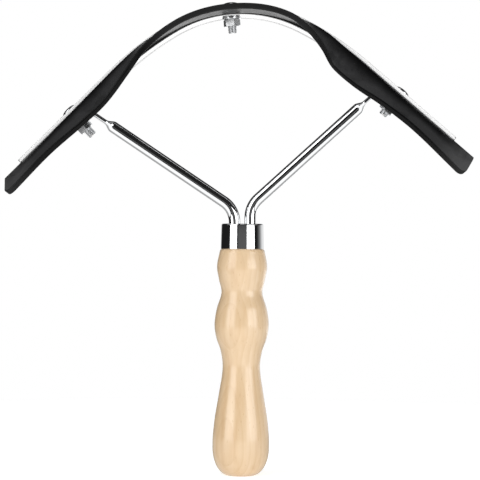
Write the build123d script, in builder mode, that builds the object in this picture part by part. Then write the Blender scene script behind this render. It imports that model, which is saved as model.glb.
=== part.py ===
from build123d import *

import os
from math import asin, cos, degrees, radians, sin, tan

# Horse sweat scraper. Millimetres, +Z up the handle, origin at the centre of its flat butt.
# The arch spans X. The free lip of the rubber blade is on the -Y side.

# --- Driving dimensions ---------------------------------------------------------------------

# Turned wooden handle
butt_radius = 6.3
foot_height = 15.0
belly_radius = 15.3
handle_height = 122.0
shoulder_radius = 11.9
# Stations (height, radius) of the turned outline between the belly and the shoulder
handle_stations = [
    (21.0, 15.2),
    (32.0, 14.05),
    (44.5, 11.95),
    (58.0, 10.1),
    (67.0, 11.2),
    (74.5, 13.75),
    (81.7, 14.65),
    (90.0, 13.5),
    (98.6, 11.05),
    (105.4, 12.4),
    (112.8, 13.55),
]
neck_radius = 10.75

# Ferrule: a drawn cap over the neck
ferrule_base_radius = 11.6
ferrule_top_radius = 11.3
ferrule_height = 13.8
ferrule_bore_radius = 10.8
ferrule_roof = 0.8
ferrule_edge_radius = 0.8

# Fork arms: round rod, flattened and pierced at the far end
rod_diameter = 6.3
rod_clearance = 0.05
rod_spacing = 8.4
tang_depth = 38.0
fork_bend_radius = 13.5
# Height where each rod's upright line meets its sloping line, and how far out from the
# lug's bend the bolt hole lies
arm_shape = {"left": (143.6, 7.8), "right": (145.3, 10.4)}
shoulder_reach = 15.0
flatten_length = 4.5
lug_thickness = 2.6
lug_width = 12.0
lug_bend_radius = 3.2

# Arch: the inner strap's inner face is the datum line, one tight arc over the top, a slack
# arc on each shoulder and two straight legs. The head leans a little on the handle.
apex_x = -3.6
apex_z = 247.5
head_lean = 2.3
crown_radius = 67.8
crown_half_angle = 28.9
haunch_radius = 170.7
leg_angle = 42.7

# Straps and blade, seen from the middle bolt, which sits a little off the arch's crown
strap_centre = -3.2
strap_half_length = 140.0
strap_width = 20.0
inner_strap_thickness = 1.2
rubber_thickness = 2.8
outer_strap_thickness = 2.0
strap_corner_radius = 2.0
bolt_spacing = 102.0

# Rubber blade: past the straps' ends, and the free lip past their near edge
blade_half_length = 153.5
lip_width = 16.0
lip_thickness = 3.2
lip_bend_length = 5.0
lip_root_inset = 0.2
lip_root_lead = 0.8
lip_root_gap = 0.06
lip_pitch = 5.0
# Stations of the free lip: (place along the strap from its middle, droop in degrees towards
# the inside of the arch, lift of the lip outwards from the clamped rubber)
lip_stations = [
    (-153.5, 27.5, -1.3),
    (-125, 28.5, -0.3),
    (-100, 41, 0.6),
    (-85, 45.5, 1.1),
    (-66, 30, 1.3),
    (-50, 12, 1.4),
    (-33, -1, 0.2),
    (0, -4.5, -0.6),
    (30, -1, 0.2),
    (43, 18.5, 1.8),
    (54, 41, 2.1),
    (65, 67, 0.7),
    (78, 62, -0.5),
    (97, 44, -0.9),
    (120, 36.5, -1.1),
    (153.5, 47.5, -1.2),
]

# M5 fasteners
thread_diameter = 4.9
clearance_hole = 5.5
bolt_head_radius = 4.3
bolt_head_height = 2.0
bolt_head_rim = 0.6
bolt_length = {"left": 18.0, "centre": 15.0, "right": 16.0}
thread_chamfer = 0.6
recess_span = 4.2
recess_width = 1.0
recess_depth = 1.2
washer_diameter = 10.0
washer_bore = 5.3
washer_thickness = 1.0
nut_across_flats = 8.0
nut_thickness = 4.0
nut_bore = 5.0
nut_turn = {"left": 30.0, "centre": 45.0, "right": 12.0}

# --- Worked out from the driving dimensions -------------------------------------------------

neck_top = handle_height + ferrule_height - ferrule_roof
rod_radius = rod_diameter / 2
rubber_inside = inner_strap_thickness
rubber_outside = rubber_inside + rubber_thickness
stack = rubber_outside + outer_strap_thickness
crown_length = crown_radius * radians(crown_half_angle)
haunch_end = crown_length + haunch_radius * radians(leg_angle - crown_half_angle)
bolt_places = {
    "left": strap_centre - bolt_spacing,
    "centre": strap_centre,
    "right": strap_centre + bolt_spacing,
}
washer_seat = {
    "left": -lug_thickness,
    # A flat washer bridges the curved strap, so it stands off by the curve's depth under it
    "centre": crown_radius * (cos(asin(washer_diameter / 2 / crown_radius)) - 1) - 0.01,
    "right": -lug_thickness,
}
sides = {"left": -1, "right": 1}

head = Plane(
    origin=(apex_x, 0, apex_z),
    x_dir=(cos(radians(head_lean)), 0, sin(radians(head_lean))),
    z_dir=(0, -1, 0),
)


def lean_at(place):
    """Angle in degrees of the arch's outward normal from the head's upright at a place."""
    reach = abs(place)
    if reach <= crown_length:
        angle = degrees(reach / crown_radius)
    elif reach <= haunch_end:
        angle = crown_half_angle + degrees((reach - crown_length) / haunch_radius)
    else:
        angle = leg_angle
    return angle if place >= 0 else -angle


def on_arch(place, outward=0.0):
    """Head-plane point at a length along the datum line, moved outward square to it."""
    angle = radians(abs(lean_at(place)))
    low = radians(crown_half_angle)
    across = crown_radius * sin(min(angle, low))
    up = crown_radius * (cos(min(angle, low)) - 1)
    if angle > low:
        across += haunch_radius * (sin(angle) - sin(low))
        up += haunch_radius * (cos(angle) - cos(low))
    straight = max(0.0, abs(place) - haunch_end)
    across += straight * cos(angle) + outward * sin(angle)
    up += -straight * sin(angle) + outward * cos(angle)
    return (across if place >= 0 else -across, up)


def arch_point(place, outward=0.0):
    """The same point in space, in the middle of the straps' width."""
    return head.from_local_coords(Vector(*on_arch(place, outward)))


def seat(place, outward=0.0):
    """Plane square to the arch: local Z points outward and local X runs along the strap."""
    angle = radians(lean_at(place) - head_lean)
    return Plane(
        origin=arch_point(place, outward),
        x_dir=(cos(angle), 0, -sin(angle)),
        z_dir=(sin(angle), 0, cos(angle)),
    )


def band_outline(low, high, half_length):
    """Closed outline of a band that follows the arch between two offsets from the datum."""
    start = strap_centre - half_length
    end = strap_centre + half_length
    knots = [start, -haunch_end, -crown_length, crown_length, haunch_end, end]
    for outward in (low, high):
        for first, last in zip(knots, knots[1:]):
            ends = (on_arch(first, outward), on_arch(last, outward))
            if last <= -haunch_end or first >= haunch_end:
                Line(*ends)
            else:
                ThreePointArc(ends[0], on_arch((first + last) / 2, outward), ends[1])
    for place in (start, end):
        Line(on_arch(place, low), on_arch(place, high))


def finish(part, name):
    """Name a finished piece and write it out."""
    part.label = name
    export_step(part, f"parts/{name}.step")


# --- Handle and ferrule ---------------------------------------------------------------------

with BuildPart() as handle:
    with BuildSketch(Plane.XZ):
        with BuildLine():
            Line((0, 0), (butt_radius, 0))
            EllipticalCenterArc(
                (butt_radius, foot_height),
                belly_radius - butt_radius,
                foot_height,
                start_angle=-90,
                arc_size=90,
            )
            outline = [(radius, height) for height, radius in handle_stations]
            Spline(
                (belly_radius, foot_height),
                *outline,
                (shoulder_radius, handle_height),
                tangents=[(0, 1), (-0.35, 1)],
            )
            Polyline(
                (shoulder_radius, handle_height),
                (neck_radius, handle_height),
                (neck_radius, neck_top),
                (0, neck_top),
                (0, 0),
            )
        make_face()
    revolve(axis=Axis.Z)
    with Locations(Plane.XY.offset(neck_top)):
        with GridLocations(rod_spacing, 0, 2, 1):
            Hole(rod_radius + rod_clearance, depth=tang_depth)
finish(handle.part, "handle")

with BuildPart() as ferrule:
    with BuildSketch(Plane.XZ):
        with BuildLine():
            top = handle_height + ferrule_height
            Polyline(
                (ferrule_bore_radius, handle_height),
                (ferrule_base_radius, handle_height),
                (ferrule_top_radius, top),
                (0, top),
                (0, neck_top),
                (ferrule_bore_radius, neck_top),
                close=True,
            )
        make_face()
    revolve(axis=Axis.Z)
    fillet(ferrule.edges().group_by(Axis.Z)[-1], ferrule_edge_radius)
    with Locations(Plane.XY.offset(top)):
        with GridLocations(rod_spacing, 0, 2, 1):
            Hole(rod_radius + rod_clearance, depth=2 * ferrule_roof)
finish(ferrule.part, "ferrule")

# --- Fork arms ------------------------------------------------------------------------------

for side, sign in sides.items():
    fork_height, hole_reach = arm_shape[side]
    hole_place = bolt_places[side]
    bend_place = hole_place - sign * hole_reach
    lug_plane = seat(hole_place, -lug_thickness / 2)
    tang_end = Vector(sign * rod_spacing / 2, 0, neck_top - tang_depth)
    fork_corner = Vector(sign * rod_spacing / 2, 0, fork_height)
    lug_corner = arch_point(bend_place, -lug_thickness / 2)
    run = (lug_corner - fork_corner).normalized()
    shoulder = lug_corner - run * shoulder_reach
    flat_start = shoulder + run * flatten_length
    with BuildPart() as arm:
        with BuildLine():
            FilletPolyline(tang_end, fork_corner, shoulder, radius=fork_bend_radius)
        with BuildSketch(Plane.XY.offset(tang_end.Z)):
            with Locations((tang_end.X, 0)):
                Circle(rod_radius)
        sweep()
        # The round rod spreads to a flat bar
        with BuildSketch(Plane(origin=shoulder, x_dir=(0, 1, 0), z_dir=run)):
            Circle(rod_radius)
        with BuildSketch(Plane(origin=flat_start, x_dir=(0, 1, 0), z_dir=run)):
            SlotOverall(lug_width, lug_thickness)
        loft()
        # The flat bar bends on to the leg of the arch and ends in a round, pierced lug
        with BuildLine():
            FilletPolyline(flat_start, lug_corner, lug_plane.origin, radius=lug_bend_radius)
        with BuildSketch(Plane(origin=flat_start, x_dir=(0, 1, 0), z_dir=run)):
            SlotOverall(lug_width, lug_thickness)
        sweep()
        with Locations(lug_plane):
            Cylinder(lug_width / 2, lug_thickness)
            Cylinder(clearance_hole / 2, 2 * lug_thickness, mode=Mode.SUBTRACT)
    finish(arm.part, f"fork_arm_{side}")

# --- Straps ---------------------------------------------------------------------------------

strap_layers = {
    "inner_strap": (0.0, inner_strap_thickness),
    "outer_strap": (rubber_outside, stack),
}
for name, (low, high) in strap_layers.items():
    with BuildPart() as strap:
        with BuildSketch(head):
            with BuildLine():
                band_outline(low, high, strap_half_length)
            make_face()
        extrude(amount=strap_width / 2, both=True)
        corners = strap.edges().filter_by(
            lambda edge, thick=high - low: abs(edge.length - thick) < 0.01
        )
        fillet(corners, strap_corner_radius)
        for place in bolt_places.values():
            with Locations(seat(place, (low + high) / 2)):
                Cylinder(clearance_hole / 2, 4 * (high - low), mode=Mode.SUBTRACT)
    finish(strap.part, name)

# --- Rubber blade ---------------------------------------------------------------------------


def lip_at(place):
    """Droop and lift at a place along the blade, on a smooth curve through the stations."""
    last = len(lip_stations) - 1
    index = max(i for i in range(last) if lip_stations[i][0] <= place)
    start, end = lip_stations[index], lip_stations[index + 1]
    before, after = lip_stations[max(index - 1, 0)], lip_stations[min(index + 2, last)]
    span = end[0] - start[0]
    share = (place - start[0]) / span
    rise = share**2 * (3 - 2 * share)
    values = []
    for item in (1, 2):
        slope_in = span * (end[item] - before[item]) / (end[0] - before[0])
        slope_out = span * (after[item] - start[item]) / (after[0] - start[0])
        bulge = slope_in * share * (share - 1) ** 2 + slope_out * share**2 * (share - 1)
        values.append(start[item] + (end[item] - start[item]) * rise + bulge)
    return values


def lip_outline(droop, lift):
    """Closed outline of the lip: local X is outward from the datum, local Y towards the lip."""
    angle = radians(droop)
    clamped = rubber_inside + rubber_thickness / 2
    middle = clamped + lift
    root = strap_width / 2
    half_bend = lip_bend_length / 2
    corner_shift = lip_thickness / 2 * tan(angle / 2)
    along = Vector(-sin(angle), cos(angle))
    across = Vector(cos(angle), sin(angle))
    bend_end = Vector(middle, root + half_bend) + along * half_bend
    free_end = bend_end + along * (lip_width - lip_bend_length)
    corners = []
    for out in (-1, 1):
        root_x = clamped + out * (rubber_thickness / 2 - lip_root_gap)
        root_point = Vector(root_x, root - lip_root_inset)
        offset_by = across * (out * lip_thickness / 2)
        free_point = free_end + offset_by
        Bezier(
            root_point,
            (root_x, root + lip_root_lead),
            (middle + out * lip_thickness / 2, root + half_bend + out * corner_shift),
            bend_end + offset_by,
            free_point,
        )
        corners.append((root_point, free_point))
    for inner, outer in zip(*corners):
        Line(inner, outer)


with BuildPart() as blade:
    with BuildSketch(head):
        with BuildLine():
            band_outline(rubber_inside, rubber_outside, blade_half_length)
        make_face()
    extrude(amount=strap_width / 2, both=True)
    sections = round(2 * blade_half_length / lip_pitch)
    for index in range(sections + 1):
        place = -blade_half_length + 2 * blade_half_length * index / sections
        square = seat(strap_centre + place)
        with BuildSketch(Plane(square.origin, x_dir=square.z_dir, z_dir=square.x_dir)):
            with BuildLine():
                lip_outline(*lip_at(place))
            make_face()
    loft(ruled=True)
    for place in bolt_places.values():
        with Locations(seat(place, (rubber_inside + rubber_outside) / 2)):
            Cylinder(clearance_hole / 2, 2 * rubber_thickness, mode=Mode.SUBTRACT)
finish(blade.part, "rubber_blade")

# --- Bolts, washers and nuts ----------------------------------------------------------------

for spot, place in bolt_places.items():
    with BuildPart() as bolt:
        with BuildSketch(Plane.XZ):
            with BuildLine():
                radius = thread_diameter / 2
                tip = -bolt_length[spot]
                Polyline(
                    (0, bolt_head_height),
                    (0, tip),
                    (radius - thread_chamfer, tip),
                    (radius, tip + thread_chamfer),
                    (radius, 0),
                    (bolt_head_radius, 0),
                    (bolt_head_radius, bolt_head_rim),
                )
                ThreePointArc(
                    (bolt_head_radius, bolt_head_rim),
                    (bolt_head_radius * 0.62, bolt_head_rim + (bolt_head_height - bolt_head_rim) * 0.7),
                    (0, bolt_head_height),
                )
            make_face()
        revolve(axis=Axis.Z)
        with Locations((0, 0, bolt_head_height)):
            for turn in (0, 90):
                Box(
                    recess_span,
                    recess_width,
                    2 * recess_depth,
                    rotation=(0, 0, turn + 45),
                    mode=Mode.SUBTRACT,
                )
    finish(seat(place, stack).location * bolt.part, f"bolt_{spot}")

    with BuildPart() as washer:
        Cylinder(washer_diameter / 2, washer_thickness)
        Cylinder(washer_bore / 2, washer_thickness, mode=Mode.SUBTRACT)
    washer_middle = washer_seat[spot] - washer_thickness / 2
    finish(seat(place, washer_middle).location * washer.part, f"washer_{spot}")

    with BuildPart() as nut:
        with BuildSketch():
            RegularPolygon(nut_across_flats / 2, 6, major_radius=False, rotation=nut_turn[spot])
            Circle(nut_bore / 2, mode=Mode.SUBTRACT)
        extrude(amount=nut_thickness / 2, both=True)
    nut_middle = washer_seat[spot] - washer_thickness - nut_thickness / 2
    finish(seat(place, nut_middle).location * nut.part, f"nut_{spot}")
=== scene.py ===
from math import acos, cos, pi, radians, sin, sqrt, tan

import bmesh
import bpy
import numpy as np
from mathutils import Matrix, Vector


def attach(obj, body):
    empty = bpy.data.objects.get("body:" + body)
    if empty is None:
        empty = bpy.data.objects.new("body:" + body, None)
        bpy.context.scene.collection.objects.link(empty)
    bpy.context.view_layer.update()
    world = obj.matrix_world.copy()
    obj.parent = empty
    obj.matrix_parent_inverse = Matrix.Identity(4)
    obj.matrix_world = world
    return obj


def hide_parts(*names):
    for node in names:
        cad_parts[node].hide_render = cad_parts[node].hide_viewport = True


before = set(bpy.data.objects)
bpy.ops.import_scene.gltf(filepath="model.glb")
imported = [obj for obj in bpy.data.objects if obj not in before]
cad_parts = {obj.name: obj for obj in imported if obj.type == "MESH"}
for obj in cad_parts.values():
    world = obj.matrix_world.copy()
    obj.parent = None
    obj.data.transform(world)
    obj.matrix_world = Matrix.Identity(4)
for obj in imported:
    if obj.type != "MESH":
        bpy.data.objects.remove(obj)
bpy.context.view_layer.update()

# A horse sweat scraper: turned beech handle, chromed ferrule and fork, two bent spring-steel
# straps and a black rubber blade clamped between them. Design sizes are millimetres, and a
# mesh is turned into metres when it is made.
MM = 0.001

# --- Sizes ----------------------------------------------------------------------------------

# Arch: the inner strap's inner face is the datum line
APEX = Vector((-3.6, 0.0, 247.5))
HEAD_LEAN = radians(2.3)
CROWN_RADIUS = 67.8
CROWN_ANGLE = radians(28.9)
HAUNCH_RADIUS = 170.7
LEG_ANGLE = radians(42.7)
CROWN_LENGTH = CROWN_RADIUS * CROWN_ANGLE
HAUNCH_END = CROWN_LENGTH + HAUNCH_RADIUS * (LEG_ANGLE - CROWN_ANGLE)

# Straps
STRAP_CENTRE = -3.2
STRAP_HALF_LENGTH = 140.0
STRAP_WIDTH = 20.0
STRAP_CORNER = 2.0
STRAP_EDGE_RADIUS = 0.45
INNER_STRAP = (0.0, 1.2)
OUTER_STRAP = (4.0, 6.0)
BOLT_SPACING = 102.0
BOLT_PLACES = {
    "left": STRAP_CENTRE - BOLT_SPACING,
    "centre": STRAP_CENTRE,
    "right": STRAP_CENTRE + BOLT_SPACING,
}

# Rubber blade
BLADE_HALF_LENGTH = 153.5
CLAMPED = (1.2, 4.0)
LIP_WIDTH = 16.0
LIP_THICKNESS = 3.2
LIP_BEND = 5.0
EDGE_ROUND = 0.8
FREE_CORNER = 4.0
END_SLANT = {"left": 4.4, "right": 1.5}
# Stations of the free lip: place along the strap from its middle, droop in degrees towards
# the inside of the arch, lift of the lip outwards from the clamped rubber
LIP_STATIONS = [
    (-153.5, 27.5, -1.3),
    (-125, 28.5, -0.3),
    (-100, 41, 0.6),
    (-85, 45.5, 1.1),
    (-66, 30, 1.3),
    (-50, 12, 1.4),
    (-33, -1, 0.2),
    (0, -4.5, -0.6),
    (30, -1, 0.2),
    (43, 18.5, 1.8),
    (54, 41, 2.1),
    (65, 67, 0.7),
    (78, 62, -0.5),
    (97, 44, -0.9),
    (120, 36.5, -1.1),
    (153.5, 47.5, -1.2),
]

# Handle and ferrule
BUTT_RADIUS = 6.3
FOOT_HEIGHT = 15.0
BELLY_RADIUS = 15.3
HANDLE_HEIGHT = 122.0
SHOULDER_RADIUS = 11.9
NECK_RADIUS = 10.75
NECK_TOP = 135.0
HANDLE_STATIONS = [
    (15.0, 15.3),
    (21.0, 15.2),
    (32.0, 14.05),
    (44.5, 11.95),
    (58.0, 10.1),
    (67.0, 11.2),
    (74.5, 13.75),
    (81.7, 14.65),
    (90.0, 13.5),
    (98.6, 11.05),
    (105.4, 12.4),
    (112.8, 13.55),
    (122.0, 11.9),
]
FERRULE_BASE = 11.6
FERRULE_TOP = 11.3
FERRULE_HEIGHT = 13.8
FERRULE_EDGE = 0.8

# Fork arms
ROD_RADIUS = 3.15
ROD_SPACING = 8.4
TANG_BOTTOM = 97.0
FORK_BEND = 13.5
ARM_SHAPE = {"left": (-1, 143.6, 7.8), "right": (1, 145.3, 10.4)}
SHOULDER_REACH = 15.0
FLATTEN_LENGTH = 4.5
LUG_THICKNESS = 2.6
LUG_WIDTH = 12.0
LUG_BEND = 3.2

# Fasteners
THREAD_DIAMETER = 4.9
THREAD_PITCH = 0.8
THREAD_DEPTH = 0.42
CLEARANCE_HOLE = 5.5
HEAD_RADIUS = 4.3
HEAD_HEIGHT = 2.0
HEAD_RIM = 0.6
BOLT_LENGTHS = {"left": 18.0, "centre": 15.0, "right": 16.0}
WASHER_DIAMETER = 10.0
WASHER_BORE = 5.3
WASHER_THICKNESS = 1.0
WASHER_SEATS = {"left": -LUG_THICKNESS, "centre": -0.19, "right": -LUG_THICKNESS}
NUT_FLATS = 8.0
NUT_THICKNESS = 4.0
NUT_TURNS = {"left": 30.0, "centre": 45.0, "right": 12.0}


# --- Geometry of the arch -------------------------------------------------------------------


def arch_frame(place):
    """Point, direction along the strap and outward direction at a length from the crown."""
    side = 1 if place >= 0 else -1
    reach = abs(place)
    if reach <= CROWN_LENGTH:
        angle = reach / CROWN_RADIUS
    else:
        haunch = min(reach, HAUNCH_END) - CROWN_LENGTH
        angle = CROWN_ANGLE + haunch / HAUNCH_RADIUS
    low = min(angle, CROWN_ANGLE)
    straight = max(0.0, reach - HAUNCH_END)
    across = CROWN_RADIUS * sin(low) + HAUNCH_RADIUS * (sin(angle) - sin(low))
    up = CROWN_RADIUS * (cos(low) - 1) + HAUNCH_RADIUS * (cos(angle) - cos(low))
    across = side * (across + straight * cos(angle))
    up = up - straight * sin(angle)
    lean = Matrix.Rotation(-HEAD_LEAN, 3, "Y")
    tilt = side * angle - HEAD_LEAN
    along = Vector((cos(tilt), 0.0, -sin(tilt)))
    outward = Vector((sin(tilt), 0.0, cos(tilt)))
    return APEX + lean @ Vector((across, 0.0, up)), along, outward


def arch_point(place, outward=0.0):
    """A point on the arch, moved outward square to it."""
    point, _, away = arch_frame(place)
    return point + away * outward


def seat_matrix(place, outward=0.0):
    """Local Z points outward from the arch and local X runs along the strap."""
    point, along, away = arch_frame(place)
    across = away.cross(along)
    turn = Matrix((along, across, away)).transposed().to_4x4()
    return Matrix.Translation(point + away * outward) @ turn


def smooth_between(stations, place):
    """Values at a place, on a smooth curve through stations of (place, value, ...)."""
    last = len(stations) - 1
    index = max(i for i in range(last) if stations[i][0] <= place or i == 0)
    start, end = stations[index], stations[index + 1]
    before, after = stations[max(index - 1, 0)], stations[min(index + 2, last)]
    span = end[0] - start[0]
    share = (place - start[0]) / span
    rise = share**2 * (3 - 2 * share)
    values = []
    for item in range(1, len(start)):
        slope_in = span * (end[item] - before[item]) / (end[0] - before[0])
        slope_out = span * (after[item] - start[item]) / (after[0] - start[0])
        bulge = slope_in * share * (share - 1) ** 2 + slope_out * share**2 * (share - 1)
        values.append(start[item] + (end[item] - start[item]) * rise + bulge)
    return values


# --- Mesh helpers ---------------------------------------------------------------------------

SHARP_ANGLE = radians(35)
DOUBLES_WITHIN = 1e-7


def new_object(name, data):
    """An object in the scene that holds the given data."""
    thing = bpy.data.objects.new(name, data)
    bpy.context.scene.collection.objects.link(thing)
    return thing


def mesh_object(name, points, faces):
    """A smooth-shaded object from points in millimetres, with sharp edges kept sharp."""
    mesh = bpy.data.meshes.new(name)
    mesh.from_pydata([tuple(np.array(p) * MM) for p in points], [], faces)
    mesh.update()
    mesh.shade_smooth()
    mesh.set_sharp_from_angle(angle=SHARP_ANGLE)
    return new_object(name, mesh)


def skin_rings(rings, close_ends=True):
    """Points and outward faces of a tube through rings of points, all of one length."""
    count = len(rings[0])
    points = [p for ring in rings for p in ring]
    faces = []
    for row in range(len(rings) - 1):
        for column in range(count):
            beside = (column + 1) % count
            low, high = row * count, (row + 1) * count
            faces.append((low + column, low + beside, high + beside, high + column))
    if close_ends:
        last = (len(rings) - 1) * count
        faces.append(tuple(reversed(range(count))))
        faces.append(tuple(last + column for column in range(count)))
    return points, faces


def lathe(profile, segments):
    """Rings round Z for a profile of (radius, height), from its lower pole to its upper one."""
    angles = [2 * pi * step / segments for step in range(segments)]
    return [[(r * cos(a), r * sin(a), z) for a in angles] for r, z in profile]


def clean_mesh(piece):
    """Merges doubled points and turns every face outwards."""
    work = bmesh.new()
    work.from_mesh(piece.data)
    bmesh.ops.remove_doubles(work, verts=work.verts, dist=DOUBLES_WITHIN)
    bmesh.ops.recalc_face_normals(work, faces=work.faces)
    work.to_mesh(piece.data)
    work.free()
    piece.data.update()


def place_mesh(piece, matrix):
    """Moves a mesh's points, in millimetres, by a matrix and leaves the object unturned."""
    to_mm = Matrix.Scale(1 / MM, 4)
    to_m = Matrix.Scale(MM, 4)
    piece.data.transform(to_m @ matrix @ to_mm)
    piece.data.update()


def arc_points(centre, radius, start, end, steps):
    """Points of a flat arc, as (x, y), its two ends included. Angles are in degrees."""
    angles = [radians(start + (end - start) * step / steps) for step in range(steps + 1)]
    return [(centre[0] + radius * cos(a), centre[1] + radius * sin(a)) for a in angles]


def finish_piece(piece, materials, node, sharp=SHARP_ANGLE):
    """Gives a piece its materials and hands it to the frame in place of its CAD node."""
    for material in materials:
        piece.data.materials.append(material)
    piece.data.set_sharp_from_angle(angle=sharp)
    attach(piece, "root")
    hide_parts(node)
    return piece


def apply_modifier(piece, modifier):
    """Bakes the piece's modifiers into a plain mesh and takes the modifier off."""
    view = bpy.context.evaluated_depsgraph_get()
    baked = bpy.data.meshes.new_from_object(piece.evaluated_get(view), depsgraph=view)
    piece.modifiers.remove(modifier)
    old = piece.data
    name = old.name
    piece.data = baked
    bpy.data.meshes.remove(old)
    baked.name = name


def carve(piece, cutter):
    """Cuts a cutter's shape out of a piece and removes the cutter."""
    cut = piece.modifiers.new("cut", "BOOLEAN")
    cut.object = cutter
    cut.solver = "EXACT"
    apply_modifier(piece, cut)
    bpy.data.objects.remove(cutter)


def pierce(piece, matrix, diameter, depth):
    """Cuts a round hole through a piece along the local Z of a place."""
    rings = lathe([(diameter / 2, -depth), (diameter / 2, depth)], 48)
    cutter = mesh_object("hole_cutter", *skin_rings(rings))
    place_mesh(cutter, matrix)
    carve(piece, cutter)


def set_uv(piece, uv_of_vertex):
    """A UV map, in metres, worked out from each vertex."""
    layer = piece.data.uv_layers.new(name="run")
    for loop in piece.data.loops:
        layer.data[loop.index].uv = uv_of_vertex(piece.data.vertices[loop.vertex_index])


# --- Node trees: small helpers --------------------------------------------------------------


class Tree:
    """Adds nodes to a tree and links them in one call each."""

    def __init__(self, nodes_of):
        self.tree = nodes_of
        self.nodes = nodes_of.nodes

    def add(self, kind, inputs=None, **settings):
        node = self.nodes.new(kind)
        for name, value in settings.items():
            setattr(node, name, value)
        for name, value in (inputs or {}).items():
            self.feed(node.inputs[name], value)
        return node

    def feed(self, socket, value):
        if isinstance(value, bpy.types.NodeSocket):
            self.tree.links.new(value, socket)
        else:
            socket.default_value = value

    def math(self, operation, *values):
        node = self.add("ShaderNodeMath", operation=operation)
        for socket, value in zip(node.inputs, values):
            self.feed(socket, value)
        return node.outputs[0]

    def plus(self, first, second):
        return self.math("ADD", first, second)

    def times(self, first, second):
        return self.math("MULTIPLY", first, second)

    def ramp(self, value, stops):
        node = self.add("ShaderNodeValToRGB", {"Fac": value})
        marks = node.color_ramp.elements
        while len(marks) < len(stops):
            marks.new(0.5)
        for mark, (position, colour) in zip(marks, stops):
            mark.position = position
            mark.color = (*colour, 1.0)
        return node.outputs["Color"]

    def mix(self, share, low, high):
        node = self.add("ShaderNodeMix", data_type="RGBA")
        self.feed(node.inputs[0], share)
        self.feed(node.inputs[6], low)
        self.feed(node.inputs[7], high)
        return node.outputs[2]


def smooth_step(tree, value, start, end):
    """0 to 1 as the value goes from start to end, which may run downwards."""
    node = tree.add("ShaderNodeMapRange", {"Value": value}, interpolation_type="SMOOTHSTEP")
    if start < end:
        limits = (start, end, 0.0, 1.0)
    else:
        limits = (end, start, 1.0, 0.0)
    for label, limit in zip(("From Min", "From Max", "To Min", "To Max"), limits):
        tree.feed(node.inputs[label], limit)
    return node.outputs[0]


def new_group(name, inputs, outputs, kind="ShaderNodeTree"):
    """An empty node group: (tree helper, its input node, its output node).

    Sockets are given as {name: default number} or {name: type of socket}.
    """
    group = bpy.data.node_groups.new(name, kind)
    for direction, sockets in (("INPUT", inputs), ("OUTPUT", outputs)):
        for label, given in sockets.items():
            named = given if isinstance(given, str) else type(given).__name__.title()
            socket = group.interface.new_socket(label, in_out=direction, socket_type=f"NodeSocket{named}")
            if named != given:
                socket.default_value = given
    tree = Tree(group)
    start = tree.add("NodeGroupInput")
    end = tree.add("NodeGroupOutput")
    return tree, start, end


def use_group(tree, group, **inputs):
    """A group placed in a material, with its inputs set by name (spaces as underscores)."""
    node = tree.add("ShaderNodeGroup", node_tree=group)
    for name, value in inputs.items():
        tree.feed(node.inputs[name.replace("_", " ")], value)
    return node


def new_material(name, **constants):
    """A material with one Principled shader: (material, tree helper, shader)."""
    material = bpy.data.materials.new(name)
    material.use_nodes = True
    tree = Tree(material.node_tree)
    shader = tree.nodes["Principled BSDF"]
    for label, value in constants.items():
        shader.inputs[label.replace("_", " ")].default_value = value
    return material, tree, shader


# --- Effects that several finishes share ----------------------------------------------------


def handling_group():
    """Uneven polish from handling: soft smudges, with a mask and a low wavy height."""
    tree, start, end = new_group(
        "handling",
        {"Vector": "Vector", "Smudge Scale": 60.0, "Low": 0.05, "High": 0.15},
        {"Roughness": "Float", "Mask": "Float"},
    )
    cloud = tree.add(
        "ShaderNodeTexNoise",
        {"Vector": start.outputs["Vector"], "Scale": start.outputs["Smudge Scale"], "Detail": 4.0},
    )
    fine_scale = tree.times(start.outputs["Smudge Scale"], 7.0)
    fine = tree.add(
        "ShaderNodeTexNoise",
        {"Vector": start.outputs["Vector"], "Scale": fine_scale, "Detail": 3.0},
    )
    both = tree.plus(cloud.outputs[0], tree.times(fine.outputs[0], 0.35))
    mask = tree.add("ShaderNodeMapRange", {"Value": both, "From Min": 0.48, "From Max": 0.9}, clamp=True)
    spread = tree.add(
        "ShaderNodeMapRange",
        {"Value": mask.outputs[0], "To Min": start.outputs["Low"], "To Max": start.outputs["High"]},
    )
    tree.feed(end.inputs["Roughness"], spread.outputs[0])
    tree.feed(end.inputs["Mask"], mask.outputs[0])
    return tree.tree


def streak_group():
    """Fine lines that run along local X of the vector: polish lines, drawing lines, fibre."""
    tree, start, end = new_group(
        "streaks",
        {"Vector": "Vector", "Along": 40.0, "Across": 4000.0, "Contrast": 1.0},
        {"Value": "Float"},
    )
    size = tree.add(
        "ShaderNodeCombineXYZ",
        {"X": start.outputs["Along"], "Y": start.outputs["Across"], "Z": start.outputs["Across"]},
    )
    stretched = tree.add("ShaderNodeVectorMath", operation="MULTIPLY")
    tree.feed(stretched.inputs[0], start.outputs["Vector"])
    tree.feed(stretched.inputs[1], size.outputs[0])
    lines = tree.add(
        "ShaderNodeTexNoise",
        {"Vector": stretched.outputs[0], "Scale": 1.0, "Detail": 3.0, "Roughness": 0.6},
    )
    centred = tree.math("SUBTRACT", lines.outputs[0], 0.5)
    scaled = tree.times(centred, start.outputs["Contrast"])
    tree.feed(end.inputs["Value"], tree.plus(scaled, 0.5))
    return tree.tree


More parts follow.
